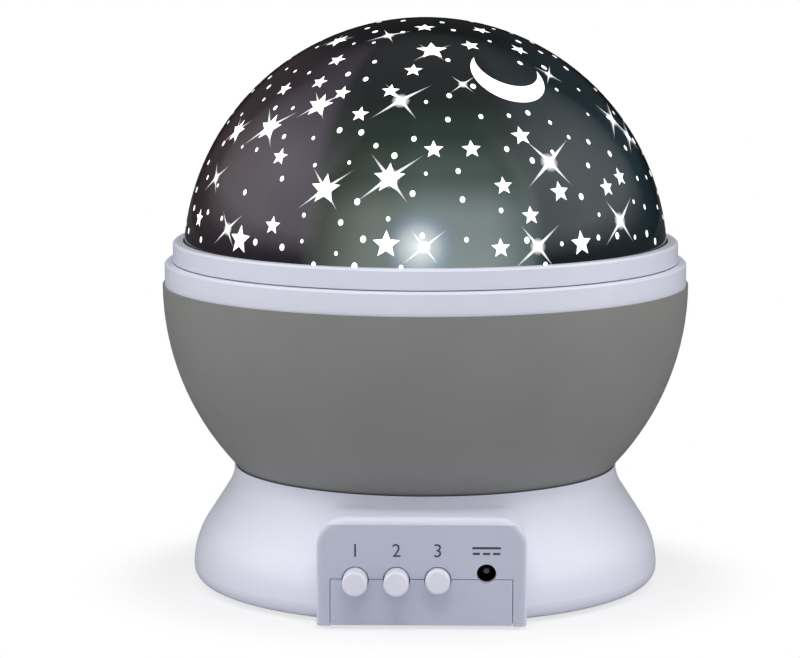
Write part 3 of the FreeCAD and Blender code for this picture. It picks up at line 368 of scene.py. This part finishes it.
def dress_nodes():
    """Each CAD piece takes its slot's material and smooth shading."""
    slots = {part["node"]: part["material_slot"] for part in frame["record"]["subparts"]}
    for name, piece in NODES.items():
        piece.data.materials.clear()
        piece.data.materials.append(MATERIALS[slots[name]])
        bpy.context.view_layer.objects.active = piece
        piece.select_set(True)
        bpy.ops.object.shade_smooth_by_angle(angle=SMOOTH_ANGLE)
        piece.select_set(False)


def new_piece(name, mesh, material, body):
    """A piece of the scene with its material and the body that it rides on."""
    piece = bpy.data.objects.new(name, mesh)
    bpy.context.scene.collection.objects.link(piece)
    mesh.materials.clear()
    mesh.materials.append(MATERIALS[material])
    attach(piece, body)


# Marks over the buttons and the socket: plain numbers and the sign for direct current

MARK_HEIGHT = 18.0 * MM
MARK_SIZE = 4.3 * MM
MARK_LIFT = 0.03 * MM
MARK_COUNT = 3
# The sign's long bar above and three short bars below
BAR_HALF = 3.2 * MM
BAR_THICK = 0.5 * MM
BAR_ABOVE = 0.55 * MM
BAR_BELOW = 0.75 * MM
DASH_HALF = 0.8 * MM
DASH_PITCH = 2.3 * MM


def bar(work, left, right, low):
    corners = [(left, low), (right, low), (right, low + BAR_THICK), (left, low + BAR_THICK)]
    work.faces.new([work.verts.new((x, PANEL_FRONT - MARK_LIFT, z)) for x, z in corners])


def current_mark():
    low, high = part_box("dc_jack_pin")
    middle = (low.x + high.x) / 2
    work = bmesh.new()
    bar(work, middle - BAR_HALF, middle + BAR_HALF, MARK_HEIGHT + BAR_ABOVE)
    for step in (-1, 0, 1):
        dash = middle + step * DASH_PITCH
        bar(work, dash - DASH_HALF, dash + DASH_HALF, MARK_HEIGHT - BAR_BELOW)
    mesh = bpy.data.meshes.new("mark_current")
    work.to_mesh(mesh)
    work.free()
    new_piece("mark_current", mesh, "ink", "base")


def number_mark(number):
    low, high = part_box("button_%d" % number)
    name = "mark_%d" % number
    curve = bpy.data.curves.new(name, "FONT")
    curve.body = str(number)
    curve.size = MARK_SIZE
    curve.align_x = "CENTER"
    curve.align_y = "CENTER"
    text = bpy.data.objects.new("mark_text", curve)
    bpy.context.scene.collection.objects.link(text)
    place = Matrix.Translation(((low.x + high.x) / 2, PANEL_FRONT - MARK_LIFT, MARK_HEIGHT))
    text.matrix_world = place @ Matrix.Rotation(math.pi / 2, 4, "X")
    bpy.context.view_layer.update()
    mesh = bpy.data.meshes.new_from_object(text.evaluated_get(bpy.context.evaluated_depsgraph_get()))
    mesh.transform(text.matrix_world)
    bpy.data.objects.remove(text)
    new_piece(name, mesh, "ink", "base")


def panel_marks():
    for number in range(1, MARK_COUNT + 1):
        number_mark(number)
    current_mark()


# Small marks on the printed sky between the star windows: glowing dots, and four-rayed glints of painted
# light

SIDES = (0, 180)
# Glints as (degrees round, degrees up, ray length in millimetres)
GLINTS = [
    (4, 62, 6.0), (-8, 25, 9.5), (-24, 22, 8.0), (-34, 43, 6.5), (-49, 36, 8.5), (-65, 34, 6.0),
    (-60, 66, 5.0), (-64, 22, 6.0), (-7, 45, 8.5), (-25, 70, 6.0), (14, 50, 4.5), (54, 52, 5.0),
    (34, 28, 9.5), (71, 37, 8.0), (76, 32, 7.0), (-52, 11, 6.5), (27, 9, 8.0), (53, 13, 8.5),
    (0.6, 9.5, 6.5),
]
# Above this the front's glints reach the back as well
SHARED_TOP = 68
GLINT_TILT = 38.0
GLINT_RAYS = 4
# Shares of the ray length: the rays between the longest, the waist between two rays and the halo
SHORT_RAY = 0.8
GLINT_WAIST = 0.07
GLINT_HALO = 0.26
HALO_CORNERS = 14
# Light left at a ray's tip and at its root, as shares of the light in the middle
RAY_LIGHT = (0.12, 0.75)
RAY_LIFT = 0.10 * MM
HALO_LIFT = 0.07 * MM

DOT_COUNT = 250
DOT_TRIES = 20000
DOT_SEED = 11
DOT_RADIUS = 0.56
DOT_RANGE = (0.7, 1.25)
DOT_CORNERS = 10
DOT_TALL = 1.2
DOT_APART = 5.04 * MM
DOT_LIFT = 0.05 * MM
SKY_FOOT = math.sin(math.radians(4.5))
SKY_TOP = math.sin(math.radians(82.0))

# Middles of the windows that dots keep clear of, in degrees round from the front and up
WINDOWS = [
    (4, 63), (-4, 55), (-19, 41), (3, 32), (-8, 25), (-24, 22), (-34, 43), (-28, 47), (-40, 50), (-41, 58),
    (-55, 47), (-49, 36), (-40, 29), (-65, 34), (-11, 48), (0, 76), (-60, 66), (26, 65), (54, 62), (51, 73),
    (28, 35), (13, 32), (20, 23), (35, 21), (58, 23), (51, 21), (-47, 9), (-37, 13), (-8, 10), (-68, 12),
    (26, 16), (18, 9), (39, 9), (34, 53), (26, 56), (42, 51),
]


def on_dome(around, upward, lift=DOT_LIFT):
    """A point just proud of the dome, by degrees round from the front and up."""
    around, upward = math.radians(around), math.radians(upward)
    reach = DOME_RADIUS + lift
    return Vector((math.sin(around) * math.cos(upward) * reach, -math.cos(around) * math.cos(upward) * reach,
                   DOME_CENTRE.z + math.sin(upward) * reach))


def dome_patch(work, around, upward, flat_points, lift, rim_light=None):
    """A flat outline in millimetres, laid on the dome as a fan about its middle.

    rim_light is the light that is left at its corners, taken in turn, with full light in the middle."""
    middle = on_dome(around, upward, lift)
    outward = (middle - DOME_CENTRE).normalized()
    right = Vector((0, 0, 1)).cross(outward).normalized()
    up = outward.cross(right)
    ring = []
    for x, y in flat_points:
        spot = middle + (right * x + up * y) * MM
        spot = DOME_CENTRE + (spot - DOME_CENTRE).normalized() * (DOME_RADIUS + lift)
        ring.append(work.verts.new(spot))
    hub = work.verts.new(middle)
    if rim_light:
        fade = work.verts.layers.float["fade"]
        hub[fade] = 1.0
        for index, corner in enumerate(ring):
            corner[fade] = rim_light[index % len(rim_light)]
    for index, corner in enumerate(ring):
        work.faces.new((hub, corner, ring[(index + 1) % len(ring)]))


def glint_points(size):
    """A four-rayed glint: long and short rays in turn, with a waist between each two."""
    points = []
    for ray in range(GLINT_RAYS):
        tip = size * (1.0 if ray % 2 == 0 else SHORT_RAY)
        for step, reach in ((0.0, tip), (0.5, size * GLINT_WAIST)):
            angle = math.radians(GLINT_TILT + (ray + step) * 360.0 / GLINT_RAYS)
            points.append((reach * math.cos(angle), reach * math.sin(angle)))
    return points


def disc_points(size, corners, tall=1.0):
    turns = [2 * math.pi * step / corners for step in range(corners)]
    return [(size * math.cos(turn), size * tall * math.sin(turn)) for turn in turns]


def sky_piece(name, work, material):
    mesh = bpy.data.meshes.new(name)
    bmesh.ops.recalc_face_normals(work, faces=work.faces)
    work.to_mesh(mesh)
    work.free()
    new_piece(name, mesh, material, "dome_cover")


def sky_glints():
    work = bmesh.new()
    work.verts.layers.float.new("fade")
    for side in SIDES:
        for around, upward, size in GLINTS:
            if upward > SHARED_TOP and side:
                continue
            # A long ray is a flat strip, so it is lifted by as much as the dome bulges under it
            bulge = (size * MM) ** 2 / (8 * DOME_RADIUS)
            dome_patch(work, around + side, upward, glint_points(size), bulge + RAY_LIFT, RAY_LIGHT)
            halo = disc_points(size * GLINT_HALO, HALO_CORNERS)
            dome_patch(work, around + side, upward, halo, HALO_LIFT, (0.0,))
    sky_piece("sky_glints", work, "glint")


def sky_dots():
    work = bmesh.new()
    rng = random.Random(DOT_SEED)
    taken = [on_dome(around + side, upward) for side in SIDES for around, upward in WINDOWS]
    last = len(taken) + DOT_COUNT
    for _ in range(DOT_TRIES):
        if len(taken) == last:
            break
        around = rng.uniform(-180, 180)
        upward = math.degrees(math.asin(rng.uniform(SKY_FOOT, SKY_TOP)))
        spot = on_dome(around, upward)
        if min((spot - other).length for other in taken) < DOT_APART:
            continue
        taken.append(spot)
        dot = disc_points(DOT_RADIUS * rng.uniform(*DOT_RANGE), DOT_CORNERS, DOT_TALL)
        dome_patch(work, around, upward, dot, DOT_LIFT)
    sky_piece("sky_dots", work, "star_clear")


# Studio: a white floor and backdrop, a soft lamp and the photograph's camera

SIDE_LIGHT = 2.3
FRONT_LIGHT = 0.42
TOP_LIGHT = 0.45
BACK_LIGHT = 0.03
WALL_FOOT = 0.08
# Where the walls change, as shares of half a turn from the front
WALL_LEVELS = [(0.0, FRONT_LIGHT), (0.28, FRONT_LIGHT), (0.33, SIDE_LIGHT), (0.50, SIDE_LIGHT),
               (0.78, BACK_LIGHT)]
# Where the walls' foot and the ceiling start, as shares of the way from straight down to straight up
FOOT_LEVELS = [(0.53, grey(WALL_FOOT)), (0.62, grey(1.0))]
CEILING_LEVELS = [(0.80, grey(0.0)), (0.97, grey(1.0))]


def white_room():
    """Two bright side walls, a dim front, back and ceiling; the camera itself sees plain white."""
    world = bpy.data.worlds.new("studio")
    bpy.context.scene.world = world
    world.use_nodes = True
    room = Tree(world.node_tree)
    across, depth, height = room.parts(room.tree.nodes.new("ShaderNodeTexCoord").outputs["Generated"])
    around = room.math("ABSOLUTE", room.math("ARCTAN2", across, room.math("MULTIPLY", depth, -1.0)))
    levels = [(spot, grey(level / SIDE_LIGHT)) for spot, level in WALL_LEVELS]
    wall = room.ramp(room.math("DIVIDE", around, math.pi), levels)
    lifted = room.math("MULTIPLY_ADD", height, 0.5, 0.5)
    standing = room.math("MULTIPLY", wall, room.ramp(lifted, FOOT_LEVELS))
    around_part = room.mix(room.ramp(lifted, CEILING_LEVELS), standing, grey(TOP_LIGHT / SIDE_LIGHT))
    seen = room.tree.nodes.new("ShaderNodeMix")
    room.join(room.light_path("Is Camera Ray"), seen.inputs[0])
    room.join(room.math("MULTIPLY", around_part, SIDE_LIGHT), seen.inputs[2])
    seen.inputs[3].default_value = 1.0
    back = room.tree.nodes["Background"]
    room.join(seen.outputs[0], back.inputs["Strength"])
    back.inputs["Color"].default_value = grey(1.0)


FLOOR_HALF = 3.0
FLOOR_COLOUR = (0.80, 0.80, 0.83, 1.0)
FLOOR_REFLECTED = 0.06
# How far the floor's own shading gives way to plain white, by metres from the middle
FLOOR_WHITE = [(0.060, grey(0.70)), (0.085, grey(1.0))]


def floor_look():
    """White that keeps the object's shadow near it and is plain white to the camera away from it."""
    look = Look("floor_white")
    look.set(Base_Color=FLOOR_COLOUR, Roughness=0.9, Specular_IOR_Level=0.0)
    reach = look.tree.nodes.new("ShaderNodeVectorMath")
    reach.operation = "LENGTH"
    look.join(look.place, reach.inputs[0])
    far = look.ramp(reach.outputs["Value"], FLOOR_WHITE, "EASE")
    plain = look.math("MULTIPLY", far, look.light_path("Is Camera Ray"))
    above = look.mix_shader(plain, look.shader.outputs[0], look.emission(grey(1.0)))
    # In reflections the floor is dim, so that the dome's rim stays black
    above = look.mix_shader(look.light_path("Is Glossy Ray"), above, look.emission(grey(FLOOR_REFLECTED)))
    # From beneath the floor is clear, so that the part's underside can be seen
    beneath = look.tree.nodes.new("ShaderNodeNewGeometry").outputs["Backfacing"]
    clear = look.tree.nodes.new("ShaderNodeBsdfTransparent").outputs[0]
    look.join(look.mix_shader(beneath, above, clear), look.tree.nodes["Material Output"].inputs["Surface"])
    return look.material


def floor():
    mesh = bpy.data.meshes.new("floor")
    corners = [(-FLOOR_HALF, -FLOOR_HALF, 0), (FLOOR_HALF, -FLOOR_HALF, 0), (FLOOR_HALF, FLOOR_HALF, 0),
               (-FLOOR_HALF, FLOOR_HALF, 0)]
    mesh.from_pydata(corners, [], [(0, 1, 2, 3)])
    mesh.materials.append(floor_look())
    piece = bpy.data.objects.new("floor", mesh)
    bpy.context.scene.collection.objects.link(piece)


LAMP_PLACE = Vector((0.0, -0.55, 1.15))
LAMP_AIM = Vector((0.0, 0.0, 0.08))
LAMP_WIDTH = 0.9
LAMP_DEPTH = 0.35
LAMP_POWER = 6.0


def high_lamp():
    """A soft lamp high in front, which the glossy dome doesn't mirror."""
    data = bpy.data.lights.new("high_front", "AREA")
    data.shape = "RECTANGLE"
    data.size = LAMP_WIDTH
    data.size_y = LAMP_DEPTH
    data.energy = LAMP_POWER
    lamp = bpy.data.objects.new("high_front", data)
    bpy.context.scene.collection.objects.link(lamp)
    lamp.location = LAMP_PLACE
    lamp.rotation_euler = (LAMP_AIM - LAMP_PLACE).to_track_quat("-Z", "Y").to_euler()
    lamp.visible_glossy = False


def studio():
    bpy.context.scene.view_settings.view_transform = "Standard"
    white_room()
    floor()
    high_lamp()


def camera():
    data = bpy.data.cameras.new("photo_view")
    data.sensor_width = SENSOR_MM
    data.lens = SENSOR_MM * FOCAL_PIXELS / PHOTO_WIDTH
    data.clip_start = CLIP_START
    view = bpy.data.objects.new("photo_view", data)
    bpy.context.scene.collection.objects.link(view)
    view.location = (CAMERA_DISTANCE * math.sin(CAMERA_SIDE), -CAMERA_DISTANCE * math.cos(CAMERA_SIDE),
                     CAMERA_HEIGHT)
    view.rotation_euler = (math.pi / 2 - CAMERA_PITCH, 0.0, CAMERA_YAW)
    bpy.context.scene.camera = view


camera()
studio()
dress_nodes()
panel_marks()
sky_glints()
sky_dots()
